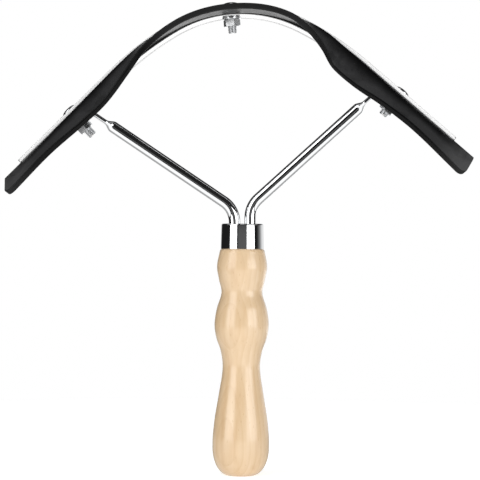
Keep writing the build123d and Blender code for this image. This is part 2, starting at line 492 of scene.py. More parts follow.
def speck_group():
    """Scattered small specks, such as dust on rubber or pores in wood, as a mask."""
    tree, start, end = new_group(
        "specks",
        {"Vector": "Vector", "Scale": 900.0, "Size": 0.16, "Share": 0.3},
        {"Mask": "Float"},
    )
    cells = tree.add(
        "ShaderNodeTexVoronoi",
        {"Vector": start.outputs["Vector"], "Scale": start.outputs["Scale"]},
    )
    inside = tree.math("LESS_THAN", cells.outputs["Distance"], start.outputs["Size"])
    pick = tree.add("ShaderNodeSeparateColor", {"Color": cells.outputs["Color"]})
    chosen = tree.math("LESS_THAN", pick.outputs[0], start.outputs["Share"])
    tree.feed(end.inputs["Mask"], tree.times(inside, chosen))
    return tree.tree


HANDLING = handling_group()
STREAKS = streak_group()
SPECKS = speck_group()


# --- Materials ------------------------------------------------------------------------------


def turned_wood():
    """Pale beech: year rings about an off-centre pith, ray flecks, pores, clear lacquer."""
    material, tree, shader = new_material(
        "turned_beech", Coat_Weight=1.0, Coat_Roughness=0.18, Coat_IOR=1.65, IOR=1.45
    )
    place = tree.add("ShaderNodeTexCoord").outputs["Object"]
    along_z = tree.add(
        "ShaderNodeMapping", {"Vector": place, "Rotation": (0.0, radians(90), 0.0)}
    ).outputs[0]
    # Year rings: distance from a pith outside the handle, bent by slow noise up the grain
    slow = tree.add(
        "ShaderNodeTexNoise",
        {
            "Vector": tree.add(
                "ShaderNodeMapping", {"Vector": place, "Scale": (14.0, 14.0, 3.0)}
            ).outputs[0],
            "Scale": 1.0,
            "Detail": 2.0,
        },
    )
    split = tree.add("ShaderNodeSeparateXYZ", {"Vector": place})
    off_x = tree.plus(split.outputs[0], 0.031)
    off_y = tree.plus(split.outputs[1], 0.052)
    off_y = tree.plus(off_y, tree.times(split.outputs[2], 0.05))
    reach = tree.math("SQRT", tree.plus(tree.math("POWER", off_x, 2.0), tree.math("POWER", off_y, 2.0)))
    bent = tree.plus(reach, tree.times(slow.outputs[0], 0.012))
    turns = tree.times(bent, 330.0)
    ring = tree.math("FRACT", turns)
    ring_soft = tree.ramp(
        ring,
        [
            (0.0, (0.1, 0.1, 0.1)),
            (0.62, (0.45, 0.45, 0.45)),
            (0.93, (1.0, 1.0, 1.0)),
            (1.0, (0.1, 0.1, 0.1)),
        ],
    )
    fibre = use_group(tree, STREAKS, Vector=along_z, Along=28.0, Across=1500.0, Contrast=1.5)
    broad = use_group(tree, STREAKS, Vector=along_z, Along=7.0, Across=160.0, Contrast=1.6)
    base = tree.ramp(
        broad.outputs["Value"],
        [(0.2, (0.80, 0.60, 0.39)), (0.55, (0.76, 0.55, 0.33)), (0.85, (0.69, 0.465, 0.26))],
    )
    ringed = tree.mix(tree.times(ring_soft, 0.30), base, (0.61, 0.38, 0.185, 1.0))
    fibred = tree.mix(tree.times(fibre.outputs["Value"], 0.22), ringed, (0.79, 0.61, 0.405, 1.0))
    fleck_place = tree.add("ShaderNodeMapping", {"Vector": place, "Scale": (1.0, 1.0, 0.17)})
    fleck = use_group(tree, SPECKS, Vector=fleck_place.outputs[0], Scale=1500.0, Size=0.24, Share=0.16)
    coloured = tree.mix(tree.times(fleck.outputs["Mask"], 0.35), fibred, (0.50, 0.28, 0.12, 1.0))
    tree.feed(shader.inputs["Base Color"], coloured)
    polish = use_group(tree, HANDLING, Vector=place, Smudge_Scale=45.0, Low=0.34, High=0.5)
    tree.feed(shader.inputs["Roughness"], polish.outputs["Roughness"])
    height = tree.math("SUBTRACT", fibre.outputs["Value"], fleck.outputs["Mask"])
    bump = tree.add("ShaderNodeBump", {"Height": height, "Strength": 0.12, "Distance": 0.0002})
    tree.feed(shader.inputs["Normal"], bump.outputs[0])
    return material


def bright_metal(
    name,
    colour,
    low,
    high,
    smudge_scale,
    line_depth=0.0,
    along=40.0,
    across=3500.0,
    metallic=1.0,
    far_edge=0.0,
):
    """Plated or polished metal: tint and roughness shift with handling, with fine lines."""
    material, tree, shader = new_material(name, Metallic=metallic)
    place = tree.add("ShaderNodeTexCoord")
    polish = use_group(
        tree, HANDLING, Vector=place.outputs["Object"], Smudge_Scale=smudge_scale, Low=low, High=high
    )
    dulled = tuple(0.9 * part for part in colour) + (1.0,)
    tint = tree.mix(tree.times(polish.outputs["Mask"], 0.5), (*colour, 1.0), dulled)
    lines = use_group(tree, STREAKS, Vector=place.outputs["UV"], Along=along, Across=across, Contrast=1.6)
    # Greyer along the strap's far edge: a darker tint on the band of the face next to that edge
    if far_edge:
        depth = tree.add("ShaderNodeSeparateXYZ", {"Vector": place.outputs["UV"]}).outputs[1]
        near_edge = smooth_step(tree, depth, far_edge, far_edge + 0.0012)
        grey = tuple(0.62 * part for part in colour) + (1.0,)
        tint = tree.mix(near_edge, tint, grey)
    tree.feed(shader.inputs["Base Color"], tint)
    rough = tree.plus(polish.outputs["Roughness"],
        tree.times(lines.outputs["Value"], 0.5 * (high - low)),
    )
    tree.feed(shader.inputs["Roughness"], rough)
    if line_depth:
        bump = tree.add(
            "ShaderNodeBump",
            {"Height": lines.outputs["Value"], "Strength": line_depth, "Distance": 0.00005},
        )
        tree.feed(shader.inputs["Normal"], bump.outputs[0])
    return material


PAINTED_SHADE_BLACK = (0.003, 0.003, 0.0032, 1.0)


def blade_rubber():
    """Satin black rubber: patchy painted light out on the lip and past the straps' ends, painted shade by
    the strap and on the free edge, dust, lines along the strip.
    """
    material, tree, shader = new_material("blade_rubber", Specular_IOR_Level=0.12, IOR=1.5)
    place = tree.add("ShaderNodeTexCoord")
    along, across, _ = tree.add("ShaderNodeSeparateXYZ", {"Vector": place.outputs["UV"]}).outputs
    bloom_and_light_patches = use_group(
        tree, HANDLING, Vector=place.outputs["Object"], Smudge_Scale=38.0, Low=0.26, High=0.38
    )
    lines = use_group(tree, STREAKS, Vector=place.outputs["UV"], Along=25.0, Across=2600.0, Contrast=1.4)
    dust = use_group(tree, SPECKS, Vector=place.outputs["Object"], Scale=700.0, Size=0.13, Share=0.2)
    # Painted shade and light: near black by the strap, lighter out on the lip and lighter still past the
    # straps' ends, made patchy by a noise mask
    lip_start = STRAP_WIDTH * MM
    out_on_lip = smooth_step(tree, across, lip_start + 0.0030, lip_start + 0.0120)
    past_strap = smooth_step(
        tree, tree.math("ABSOLUTE", along), STRAP_HALF_LENGTH * MM - 0.010, BLADE_HALF_LENGTH * MM
    )
    painted_lip_light = tree.times(out_on_lip, tree.plus(bloom_and_light_patches.outputs["Mask"], 0.6))
    black = tree.mix(painted_lip_light, PAINTED_SHADE_BLACK, (0.033, 0.033, 0.034, 1.0))
    # Painted light: the strip is lighter past the straps' ends, where their shade no longer falls
    ends = tree.times(past_strap, tree.plus(bloom_and_light_patches.outputs["Mask"], 0.5))
    black = tree.mix(ends, black, (0.070, 0.070, 0.071, 1.0))
    # Painted shade on the free edge: near black, a little less dark on the crown and past the straps'
    # ends
    corner = lip_start + (LIP_WIDTH - EDGE_ROUND) * MM
    cut = smooth_step(tree, across, corner - 0.0004, corner + 0.0003)
    on_crown = smooth_step(tree, tree.math("ABSOLUTE", along), 0.055, 0.035)
    crown_or_ends = tree.math("MAXIMUM", on_crown, past_strap)
    painted_edge_shade = tree.mix(crown_or_ends, PAINTED_SHADE_BLACK, (0.016, 0.016, 0.0163, 1.0))
    black = tree.mix(cut, black, painted_edge_shade)
    dusty = tree.mix(tree.times(dust.outputs["Mask"], 0.08), black, (0.25, 0.24, 0.23, 1.0))
    tree.feed(shader.inputs["Base Color"], dusty)
    tree.feed(shader.inputs["Roughness"], bloom_and_light_patches.outputs["Roughness"])
    grain = tree.add(
        "ShaderNodeTexNoise",
        {"Vector": place.outputs["Object"], "Scale": 2600.0, "Detail": 3.0, "Roughness": 0.7},
    )
    height = tree.plus(tree.times(grain.outputs[0], 0.6), lines.outputs["Value"])
    bump = tree.add("ShaderNodeBump", {"Height": height, "Strength": 0.25, "Distance": 0.0001})
    tree.feed(shader.inputs["Normal"], bump.outputs[0])
    return material


WOOD = turned_wood()
CHROME = bright_metal("chrome_plate", (0.93, 0.94, 0.95), 0.025, 0.09, 50.0)
STRAP = bright_metal(
    "polished_strap", (0.92, 0.92, 0.92), 0.10, 0.20, 40.0,
    line_depth=0.2, along=18.0, across=2600.0, far_edge=0.0076,
)
# Painted reflection: the outer strap's long sides are white non-metal paint standing in for the white
# that their polished steel reflects
EDGE_REFLECTION_PAINT = bright_metal(
    "strap_edge_painted_reflection", (1.0, 1.0, 1.0), 0.4, 0.5, 90.0,
    line_depth=0.02, along=60.0, across=900.0, metallic=0.0,
)
ZINC = bright_metal(
    "zinc_plate", (0.80, 0.81, 0.82), 0.12, 0.26, 160.0,
    line_depth=0.08, along=900.0, across=900.0,
)
RUBBER = blade_rubber()


# --- Handle and ferrule ---------------------------------------------------------------------


def make_handle():
    """The turned handle: a rounded foot, belly, waist and two bulges, and the hidden neck."""
    foot = [(0.0, 0.0), (BUTT_RADIUS * 0.5, 0.0), (BUTT_RADIUS - 0.4, 0.0)]
    for step in range(0, 17):
        angle = pi / 2 * step / 17
        radius = BUTT_RADIUS + (BELLY_RADIUS - BUTT_RADIUS) * sin(angle)
        foot.append((radius, FOOT_HEIGHT * (1 - cos(angle))))
    body = []
    rows = 150
    for step in range(rows + 1):
        height = FOOT_HEIGHT + (HANDLE_HEIGHT - FOOT_HEIGHT) * step / rows
        body.append((smooth_between(HANDLE_STATIONS, height)[0], height))
    body.pop()
    shoulder = arc_points((SHOULDER_RADIUS - 0.6, HANDLE_HEIGHT - 0.6), 0.6, 0, 90, 6)
    shoulder.append((NECK_RADIUS, HANDLE_HEIGHT))
    neck = [(NECK_RADIUS, NECK_TOP - 0.5), (NECK_RADIUS - 0.5, NECK_TOP), (0.0, NECK_TOP)]
    piece = mesh_object("handle_turned", *skin_rings(lathe(foot + body + shoulder + neck, 128)))
    clean_mesh(piece)
    for side in (-1, 1):
        bore = Matrix.Translation((side * ROD_SPACING / 2, 0, NECK_TOP))
        pierce(piece, bore, 2 * ROD_RADIUS + 0.1, NECK_TOP - TANG_BOTTOM)
    finish_piece(piece, [WOOD], "handle", radians(50))


def make_ferrule():
    """The drawn cap: tapering wall, rounded top edge, a thin rim and two rod holes."""
    top = HANDLE_HEIGHT + FERRULE_HEIGHT
    lip = 0.25
    outside = [
        (NECK_RADIUS + 0.05, HANDLE_HEIGHT),
        (FERRULE_BASE - lip, HANDLE_HEIGHT),
        (FERRULE_BASE, HANDLE_HEIGHT + lip),
        (FERRULE_BASE - 0.02, HANDLE_HEIGHT + 1.0),
        (FERRULE_TOP, top - FERRULE_EDGE),
    ]
    corner = (FERRULE_TOP - FERRULE_EDGE, top - FERRULE_EDGE)
    outside += arc_points(corner, FERRULE_EDGE, 10, 90, 8)
    inside = [(0.0, top), (0.0, NECK_TOP), (NECK_RADIUS + 0.05, NECK_TOP)]
    rings = lathe(outside + inside, 128)
    piece = mesh_object("ferrule_cap", *skin_rings(rings + [rings[0]], close_ends=False))
    clean_mesh(piece)
    for side in (-1, 1):
        hole = Matrix.Translation((side * ROD_SPACING / 2, 0, top))
        pierce(piece, hole, 2 * ROD_RADIUS + 0.1, 4.0)
    finish_piece(piece, [CHROME], "ferrule")


# --- Fork arms ------------------------------------------------------------------------------


def rounded_route(points, radii, pitch):
    """Evenly stepped points of a flat route of straight runs with round corners."""
    route = [Vector(points[0])]
    for before, corner, after, radius in zip(points, points[1:], points[2:], radii):
        into = (Vector(corner) - Vector(before)).normalized()
        out = (Vector(after) - Vector(corner)).normalized()
        turn = acos(max(-1.0, min(1.0, into.dot(out))))
        reach = radius * tan(turn / 2)
        start, end = Vector(corner) - into * reach, Vector(corner) + out * reach
        centre = start + (out - into * into.dot(out)).normalized() * radius
        steps = max(4, round(radius * turn / pitch))
        for step in range(steps + 1):
            share = step / steps
            spoke = (start - centre) * sin((1 - share) * turn) + (end - centre) * sin(share * turn)
            route.append(centre + spoke / sin(turn))
    route.append(Vector(points[-1]))
    filled = [route[0]]
    for point in route[1:]:
        run = point - filled[-1]
        steps = max(1, round(run.length / pitch))
        start = filled[-1]
        filled += [start + run * (step / steps) for step in range(1, steps + 1)]
    return filled


def make_arm(side):
    """One fork arm: a round rod, flattened towards its end, bent on to the leg of the arch."""
    sign, fork_height, hole_reach = ARM_SHAPE[side]
    hole_place = BOLT_PLACES[side]
    lug_level = -LUG_THICKNESS / 2
    tang = Vector((sign * ROD_SPACING / 2, 0, TANG_BOTTOM))
    fork = Vector((sign * ROD_SPACING / 2, 0, fork_height))
    corner = arch_point(hole_place - sign * hole_reach, lug_level)
    tip = arch_point(hole_place + sign * LUG_WIDTH / 2, lug_level)
    route = rounded_route([tang, fork, corner, tip], [FORK_BEND, LUG_BEND], 0.6)
    shoulder = corner + (fork - corner).normalized() * SHOULDER_REACH
    travelled = [0.0]
    for first, second in zip(route, route[1:]):
        travelled.append(travelled[-1] + (second - first).length)
    nearest = min(range(len(route)), key=lambda i: (route[i] - shoulder).length)
    tip_at = travelled[-1]
    segments = 48
    rings = []
    for index, point in enumerate(route):
        ahead = route[min(index + 1, len(route) - 1)] - route[max(index - 1, 0)]
        ahead.normalize()
        inward = Vector((0, 1, 0)).cross(ahead)
        share = (travelled[index] - travelled[nearest]) / FLATTEN_LENGTH
        share = min(max(share, 0.0), 1.0)
        share = share * share * (3 - 2 * share)
        wide = ROD_RADIUS + (LUG_WIDTH / 2 - ROD_RADIUS) * share
        thick = ROD_RADIUS + (LUG_THICKNESS / 2 - ROD_RADIUS) * share
        past_hole = travelled[index] - (tip_at - LUG_WIDTH / 2)
        if past_hole > 0:
            wide = max(0.2, sqrt(max(0.0, (LUG_WIDTH / 2) ** 2 - past_hole**2)))
        power = 2 / (2 + share)
        ring = []
        for step in range(segments):
            angle = 2 * pi * step / segments
            across = abs(cos(angle)) ** power * (1 if cos(angle) >= 0 else -1)
            up = abs(sin(angle)) ** power * (1 if sin(angle) >= 0 else -1)
            ring.append(point + Vector((0, 1, 0)) * across * wide + inward * up * thick)
        rings.append(ring)
    piece = mesh_object(f"fork_arm_{side}_rod", *skin_rings(rings))
    clean_mesh(piece)
    pierce(piece, seat_matrix(hole_place, lug_level), CLEARANCE_HOLE, 4.0)
    set_uv(piece, lambda vertex: (vertex.co.z, vertex.co.y))
    finish_piece(piece, [CHROME], f"fork_arm_{side}", radians(40))


# --- Straps ---------------------------------------------------------------------------------


def strap_half_width(from_end):
    """Half the strap's width at a distance from its end, with its corners rounded."""
    if from_end >= STRAP_CORNER:
        return STRAP_WIDTH / 2
    inset = STRAP_CORNER - sqrt(STRAP_CORNER**2 - (STRAP_CORNER - from_end) ** 2)
    return STRAP_WIDTH / 2 - inset


def strap_section(half_width, low, high):
    """Section of a strap as (depth, outward), with its long edges rolled round."""
    radius = STRAP_EDGE_RADIUS
    corners = [
        ((half_width - radius, low + radius), -90),
        ((half_width - radius, high - radius), 0),
        ((-half_width + radius, high - radius), 90),
        ((-half_width + radius, low + radius), 180),
    ]
    section = []
    for centre, start in corners:
        section += arc_points(centre, radius, start, start + 90, 4)
    return section


def places_along(start, end, pitch):
    """Evenly stepped places from start to end."""
    steps = round((end - start) / pitch)
    return [start + (end - start) * step / steps for step in range(steps + 1)]


def make_strap(name, layer, edge_finish):
    """One spring-steel strap, bent to the arch, with rolled edges and three bolt holes."""
    low, high = layer
    start = STRAP_CENTRE - STRAP_HALF_LENGTH
    end = STRAP_CENTRE + STRAP_HALF_LENGTH
    near_end = [0.0, 0.1, 0.3, 0.6, 1.0, 1.5]
    middle = places_along(start + STRAP_CORNER, end - STRAP_CORNER, 1.5)
    places = [start + gap for gap in near_end] + middle
    places += [end - gap for gap in reversed(near_end)]
    rings = []
    for place in places:
        point, _, away = arch_frame(place)
        half = strap_half_width(min(place - start, end - place))
        section = strap_section(half, low, high)
        rings.append([point + Vector((0, depth, 0)) + away * out for depth, out in section])
    piece = mesh_object(f"{name}_bent", *skin_rings(rings))
    for spot in BOLT_PLACES.values():
        pierce(piece, seat_matrix(spot, (low + high) / 2), CLEARANCE_HOLE, 2 * (high - low))
    clean_mesh(piece)
    set_uv(piece, lambda vertex: (vertex.co.x, vertex.co.y))
    mark_edges(piece)
    finish_piece(piece, [STRAP, edge_finish], name, radians(40))


def mark_edges(piece):
    """Gives the strap's two long sides their own finish."""
    limit = STRAP_WIDTH / 2 - 0.25
    for face in piece.data.polygons:
        if abs(face.normal.y) > 0.8 and abs(face.center.y / MM) > limit:
            face.material_index = 1


# --- Rubber blade ---------------------------------------------------------------------------


def bezier(points, share):
    """A point on the Bezier curve through its control points."""
    while len(points) > 1:
        points = [a.lerp(b, share) for a, b in zip(points, points[1:])]
    return points[0]


def lip_faces(droop, lift, swell, width):
    """The lip's inner and outer outlines as lists of (outward, depth), root to free edge."""
    angle = radians(droop)
    clamped = (CLAMPED[0] + CLAMPED[1]) / 2
    middle = clamped + lift
    root = STRAP_WIDTH / 2
    half_bend = LIP_BEND / 2
    along = Vector((-sin(angle), cos(angle)))
    across = Vector((cos(angle), sin(angle)))
    bend_end = Vector((middle, root + half_bend)) + along * half_bend
    outlines = []
    for out in (-1, 1):
        half = out * LIP_THICKNESS / 2
        shift = half * tan(angle / 2)
        root_x = clamped + out * ((CLAMPED[1] - CLAMPED[0]) / 2 - 0.02)
        controls = [
            Vector((root_x, root - 0.1)),
            Vector((root_x + out * swell, root + 0.9)),
            Vector((middle + half, root + half_bend + shift)),
            bend_end + across * half,
        ]
        bend = [bezier(controls, step / 12) for step in range(12)]
        edge = bend_end + across * half
        reach = width - LIP_BEND - EDGE_ROUND
        straight = [edge + along * (reach * step / 10) for step in range(11)]
        outlines.append(bend + straight)
    return outlines, bend_end + along * (width - LIP_BEND), along, across


def blade_section(droop, lift, width, wave):
    """Closed section of the blade as (outward, depth) going round it once."""
    (inner, outer), free_end, along, across = lip_faces(droop, lift, 0.12, width)
    far = -STRAP_WIDTH / 2
    low, high = CLAMPED[0] + 0.02, CLAMPED[1] - 0.02
    clamp_depths = [far + 0.4, -6.0, 0.0, 6.0]
    section = [Vector((low, depth)) for depth in clamp_depths] + inner
    # The free edge: two rounded corners with a nearly flat, knife-cut face between them
    half = LIP_THICKNESS / 2
    for side in (-1, 1):
        corner = []
        for step in range(1, 6):
            turn = radians(90 * step / 6)
            back = EDGE_ROUND * (1 - sin(turn))
            inset = EDGE_ROUND * (1 - cos(turn))
            corner.append(free_end + across * (side * (half - inset)) - along * back)
        face = free_end + across * (side * (half - EDGE_ROUND)) + along * wave
        section += corner + [face] if side < 0 else [face] + corner[::-1]
    section += outer[::-1]
    section += [Vector((high, depth)) for depth in reversed(clamp_depths)]
    section += [Vector((high - 0.4, far)), Vector((low + 0.4, far))]
    return section


def lip_width_at(from_end):
    """The lip's width, less near an end, where its free corner is rounded."""
    if from_end >= FREE_CORNER:
        return LIP_WIDTH
    return LIP_WIDTH - FREE_CORNER + sqrt(FREE_CORNER**2 - (FREE_CORNER - from_end) ** 2)


def across_strip():
    """Distance across the flat strip for each point of a section: 0 at the clamped edge."""
    root = STRAP_WIDTH
    side = [0.4, root / 2 - 6.0, root / 2, root / 2 + 6.0]
    side += [root + LIP_BEND * step / 12 for step in range(12)]
    reach = LIP_WIDTH - LIP_BEND - EDGE_ROUND
    side += [root + LIP_BEND + reach * step / 10 for step in range(11)]
    side += [root + LIP_WIDTH - EDGE_ROUND * (1 - step / 6) for step in range(1, 6)]
    side.append(root + LIP_WIDTH + EDGE_ROUND)
    return side + side[::-1] + [0.0, 0.0]


def end_slip(place, depth):
    """How far an end's cut leans along the strap: short at the clamp, long at the lip."""
    past_strap = max(0.0, abs(place) - STRAP_HALF_LENGTH) / (BLADE_HALF_LENGTH - STRAP_HALF_LENGTH)
    lip_share = min(max((depth - STRAP_WIDTH / 2) / (LIP_WIDTH * 0.75), 0.0), 1.0)
    if place > 0:
        return past_strap * END_SLANT["right"] * lip_share
    return past_strap * END_SLANT["left"] * (0.5 - lip_share)


def make_blade():
    """The rubber blade: held flat between the straps, with its lip free and drooping."""
    rings = []
    uvs = []
    near_end = [0.0, 0.05, 0.2, 0.5, 0.9, 1.4, 2.0, 2.8]
    middle = places_along(FREE_CORNER - BLADE_HALF_LENGTH, BLADE_HALF_LENGTH - FREE_CORNER, 1.25)
    places = [gap - BLADE_HALF_LENGTH for gap in near_end] + middle
    places += [BLADE_HALF_LENGTH - gap for gap in reversed(near_end)]
    for place in places:
        droop, lift = smooth_between(LIP_STATIONS, place)
        # The free edge is knife-cut, so its line wanders a little
        wave = 0.07 * sin(place / 6.1) + 0.05 * sin(place / 2.7 + 1.0)
        width = lip_width_at(BLADE_HALF_LENGTH - abs(place))
        ring = []
        for out, depth in blade_section(droop, lift, width, wave):
            point, _, away = arch_frame(STRAP_CENTRE + place + end_slip(place, depth))
            ring.append(point + away * out + Vector((0, -depth, 0)))
        rings.append(ring)
        uvs += [(place * MM, across * MM) for across in across_strip()]
    piece = mesh_object("rubber_blade_lip", *skin_rings(rings))
    set_uv(piece, lambda vertex: uvs[vertex.index])
    for spot in BOLT_PLACES.values():
        pierce(piece, seat_matrix(spot, sum(CLAMPED) / 2), CLEARANCE_HOLE, 3.0)
    clean_mesh(piece)
    finish_piece(piece, [RUBBER], "rubber_blade", radians(40))


# --- Fasteners ------------------------------------------------------------------------------


def thread_tree():
    """Geometry Nodes: a screw thread rolled on a shank that hangs down from the origin."""
    tree, start, end = new_group(
        "rolled_thread",
        {
            "Diameter": THREAD_DIAMETER * MM,
            "Pitch": THREAD_PITCH * MM,
            "Depth": THREAD_DEPTH * MM,
            "Length": 0.016,
            "Chamfer": 0.0006,
            "Around": 48,
            "Rows": 240,
            "Finish": "Material",
        },
        {"Geometry": "Geometry"},
        "GeometryNodeTree",
    )
    sizes = start.outputs
    grid = tree.add(
        "GeometryNodeMeshGrid",
        {
            "Size X": 1.0,
            "Size Y": 1.0,
            "Vertices X": tree.plus(sizes["Around"], 1),
            "Vertices Y": sizes["Rows"],
        },
    )
    where = tree.add(
        "ShaderNodeSeparateXYZ", {"Vector": tree.add("GeometryNodeInputPosition").outputs[0]}
    )
    turn = tree.plus(where.outputs[0], 0.5)
    down = tree.plus(where.outputs[1], 0.5)
    radius = tree.times(sizes["Diameter"], 0.5)
    # The last rows close the tip, so the grid's length is the shank's plus one radius
    travelled = tree.times(down, tree.plus(sizes["Length"], radius))
    depth = tree.math("MINIMUM", travelled, sizes["Length"])
    left = tree.math("SUBTRACT", tree.plus(sizes["Length"], radius), travelled)
    phase = tree.plus(tree.math("DIVIDE", depth, sizes["Pitch"]), turn)
    saw = tree.math("PINGPONG", phase, 0.5)
    flank = tree.add(
        "ShaderNodeMapRange",
        {"Value": saw, "From Min": 0.06, "From Max": 0.44, "To Min": 0.0, "To Max": 1.0},
        interpolation_type="SMOOTHSTEP",
    )
    groove = tree.times(flank.outputs[0], sizes["Depth"])
    to_tip = tree.math("SUBTRACT", sizes["Length"], depth)
    lead = tree.math("MAXIMUM", tree.math("SUBTRACT", sizes["Chamfer"], to_tip), 0.0)
    crest = tree.math("SUBTRACT", radius, lead)
    wall = tree.math("MINIMUM", tree.math("SUBTRACT", radius, groove), crest)
    wall = tree.math("MINIMUM", wall, left)
    angle = tree.times(turn, 2 * pi)
    moved = tree.add(
        "ShaderNodeCombineXYZ",
        {
            "X": tree.times(wall, tree.math("COSINE", angle)),
            "Y": tree.times(wall, tree.math("SINE", angle)),
            "Z": tree.times(depth, -1.0),
        },
    )
    rolled = tree.add(
        "GeometryNodeSetPosition", {"Geometry": grid.outputs[0], "Position": moved.outputs[0]}
    )
    joined = tree.add(
        "GeometryNodeMergeByDistance", {"Geometry": rolled.outputs[0], "Distance": DOUBLES_WITHIN}
    )
    real = tree.add("GeometryNodeRealizeInstances", {"Geometry": joined.outputs[0]})
    finish = tree.add(
        "GeometryNodeSetMaterial", {"Geometry": real.outputs[0], "Material": sizes["Finish"]}
    )
    tree.feed(end.inputs["Geometry"], finish.outputs[0])
    return tree.tree


def grown_piece(name, group, **inputs):
    """A plain mesh object grown by a Geometry Nodes tree with its inputs set by name."""
    piece = new_object(name, bpy.data.meshes.new(name))
    grow = piece.modifiers.new("grow", "NODES")
    grow.node_group = group
    for item in group.interface.items_tree:
        if item.in_out == "INPUT" and item.name in inputs:
            grow[item.identifier] = inputs[item.name]
    apply_modifier(piece, grow)
    return piece


def join_pieces(first, *others):
    """Joins other objects' meshes into the first object."""
    work = bmesh.new()
    for piece in (first, *others):
        work.from_mesh(piece.data)
    work.to_mesh(first.data)
    work.free()
    for piece in others:
        bpy.data.objects.remove(piece)


def make_bolt(spot, place, thread):
    """A domed cross-head bolt with a rolled thread."""
    length = BOLT_LENGTHS[spot]
    dome = [(0.0, 0.0), (HEAD_RADIUS - 0.15, 0.0), (HEAD_RADIUS, 0.15), (HEAD_RADIUS, HEAD_RIM)]
    for step in range(1, 15):
        angle = pi / 2 * step / 14
        rise = (HEAD_HEIGHT - HEAD_RIM) * sin(angle)
        dome.append((HEAD_RADIUS * cos(angle) ** 0.9, HEAD_RIM + rise))
    dome[-1] = (0.0, HEAD_HEIGHT)
    head = mesh_object(f"bolt_{spot}_dome", *skin_rings(lathe(dome, 64)))
    clean_mesh(head)
    for turn in (45, 135):
        cut_slot(head, radians(turn))
    shank = grown_piece(
        "shank", thread, Length=length * MM, Rows=round(length * 15), Around=48, Finish=ZINC
    )
    join_pieces(head, shank)
    place_mesh(head, seat_matrix(place, OUTER_STRAP[1]))
    finish_piece(head, [ZINC], f"bolt_{spot}", radians(38))


def cut_slot(head, turn):
    """Cuts one tapered arm of the cross recess into a bolt's head."""
    wide, long, deep = 0.5, 2.1, 1.2
    top = HEAD_HEIGHT + 0.2
    corners = [(-1, -1), (1, -1), (1, 1), (-1, 1)]
    rings = [
        [(x * long * 0.45, y * wide * 0.7, top - deep) for x, y in corners],
        [(x * long, y * wide, top) for x, y in corners],
    ]
    cutter = mesh_object("slot_cutter", *skin_rings(rings))
    cutter.data.transform(Matrix.Rotation(turn, 4, "Z"))
    carve(head, cutter)


def make_washer(spot, place):
    """A stamped washer: one edge rounded over, the other nearly sharp."""
    outer, inner, thick = WASHER_DIAMETER / 2, WASHER_BORE / 2, WASHER_THICKNESS
    profile = [(inner, -thick), (outer - 0.3, -thick)]
    profile += arc_points((outer - 0.3, -thick + 0.3), 0.3, -70, 0, 4)
    profile += [(outer, -0.1), (outer - 0.1, 0.0), (inner + 0.15, 0.0), (inner, -0.15)]
    rings = lathe(profile, 64)
    piece = mesh_object(f"washer_{spot}_flat", *skin_rings(rings + [rings[0]], close_ends=False))
    clean_mesh(piece)
    place_mesh(piece, seat_matrix(place, WASHER_SEATS[spot]))
    finish_piece(piece, [ZINC], f"washer_{spot}")


def make_nut(spot, place):
    """A hexagon nut with its corners turned off at both faces and a chamfered bore."""
    segments = 96
    flat, half = NUT_FLATS / 2, NUT_THICKNESS / 2
    face_radius = flat * 0.96
    bore = THREAD_DIAMETER / 2 + 0.05
    levels = [(-1, bore, 0.35), (-1, bore + 0.4, 0.0), (-1, None, 0.0), (-1, "hex", 0.0)]
    levels += [(1, "hex", 0.0), (1, None, 0.0), (1, bore + 0.4, 0.0), (1, bore, 0.35)]
    rings = []
    for end, size, inset in levels:
        ring = []
        for step in range(segments):
            angle = 2 * pi * step / segments
            from_flat = (angle + pi / 6) % (pi / 3) - pi / 6
            reach = flat / cos(from_flat)
            radius = reach if size == "hex" else (face_radius if size is None else size)
            drop = (reach - face_radius) * tan(radians(30)) if size == "hex" else inset
            ring.append((radius * cos(angle), radius * sin(angle), end * (half - drop)))
        rings.append(ring)
    piece = mesh_object(f"nut_{spot}_hex", *skin_rings(rings + [rings[0]], close_ends=False))
    clean_mesh(piece)
    middle = WASHER_SEATS[spot] - WASHER_THICKNESS - half
    turn = Matrix.Rotation(radians(30 + NUT_TURNS[spot]), 4, "Z")
    place_mesh(piece, seat_matrix(place, middle) @ turn)
    finish_piece(piece, [ZINC], f"nut_{spot}", radians(28))


make_handle()
make_ferrule()
for arm_side in ARM_SHAPE:
    make_arm(arm_side)
make_strap("inner_strap", INNER_STRAP, STRAP)
# The outer strap's long sides take the white paint that stands in for a painted reflection
make_strap("outer_strap", OUTER_STRAP, EDGE_REFLECTION_PAINT)
make_blade()
rolled_thread = thread_tree()
for bolt_spot, bolt_place in BOLT_PLACES.items():
    make_bolt(bolt_spot, bolt_place, rolled_thread)
    make_washer(bolt_spot, bolt_place)
    make_nut(bolt_spot, bolt_place)


# --- Studio ---------------------------------------------------------------------------------

WHITE = (1.0, 1.0, 1.0, 1.0)
FLOOR_RADIUS = 520.0
CAMERA_LENS = 152.8
CAMERA_ROLL = radians(0.45)
CAMERA_PLACE = (-0.00125, -1.1, 0.127)


def pick_by_ray(tree, ray, others, chosen):
    """One shader for a kind of ray and another for all others."""
    path = tree.add("ShaderNodeLightPath")
    pick = tree.add("ShaderNodeMixShader", {"Fac": path.outputs[ray]})
    tree.feed(pick.inputs[1], others)
    tree.feed(pick.inputs[2], chosen)
    return pick.outputs[0]


